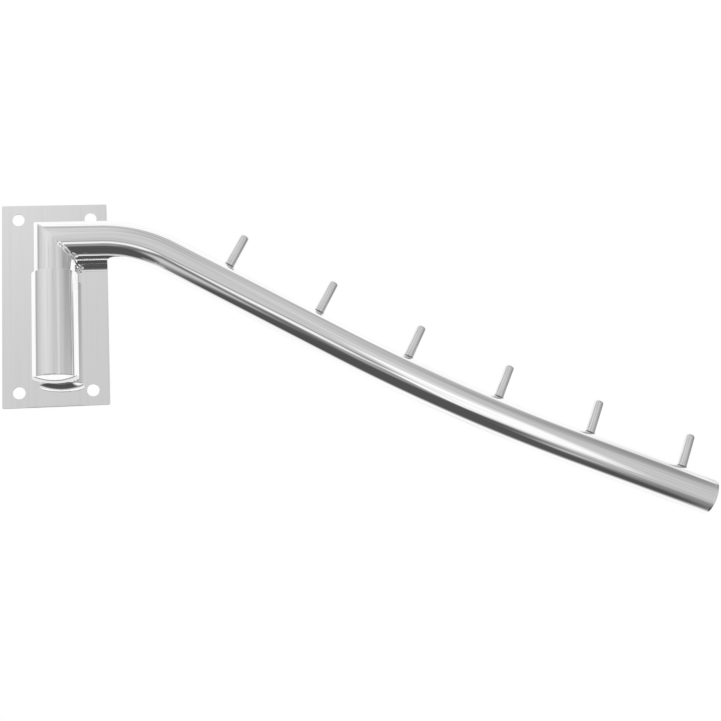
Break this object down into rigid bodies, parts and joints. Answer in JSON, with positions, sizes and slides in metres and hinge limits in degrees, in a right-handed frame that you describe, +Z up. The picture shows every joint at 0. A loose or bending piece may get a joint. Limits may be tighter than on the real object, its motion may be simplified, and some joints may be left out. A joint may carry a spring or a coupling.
{
  "type": "swinging garment hook arm",
  "caption": "Wall plate with an upright sleeve that holds a swinging, lift-out tube arm; the arm slopes down and carries a row of upright pegs that keep garment hangers apart.",
  "frame": {"origin": "centre of the four screw holes, on the plate's back face, which rests on the wall", "axes": "+Z up along the sleeve's axis, +X to the right along the arm at rest, +Y into the wall, so the front faces -Y"},
  "size_m": [0.3502, 0.0246, 0.1716],
  "materials": {
    "plate": "polished flat plate",
    "tube": "mirror polished tube",
    "peg": "polished round rod",
    "weld": "dressed weld metal",
    "nylon": "natural moulded nylon"
  },
  "bodies": {
    "bracket": {"wall_plate": "plate", "pivot_sleeve": "tube", "sleeve_weld_left": "weld", "sleeve_weld_right": "weld", "sleeve_bottom_cap": "tube"},
    "swivel": {"thrust_washer": "nylon"},
    "arm": {"spindle_tube": "tube", "arm_tube": "tube", "arm_end_cap": "tube", "peg_1": "peg", "peg_2": "peg", "peg_3": "peg", "peg_4": "peg", "peg_5": "peg", "peg_6": "peg", "peg_weld_1": "weld", "peg_weld_2": "weld", "peg_weld_3": "weld", "peg_weld_4": "weld", "peg_weld_5": "weld", "peg_weld_6": "weld"}
  },
  "joints": [
    {"name": "swing", "type": "hinge", "parent": "bracket", "child": "swivel", "pos_m": [0.0013, -0.0138, 0], "axis": [0, 0, -1], "range_deg": [0, 180]},
    {"name": "lift", "type": "slide", "parent": "swivel", "child": "arm", "axis": [0, 0, 1], "range_m": [0, 0.05]}
  ]
}
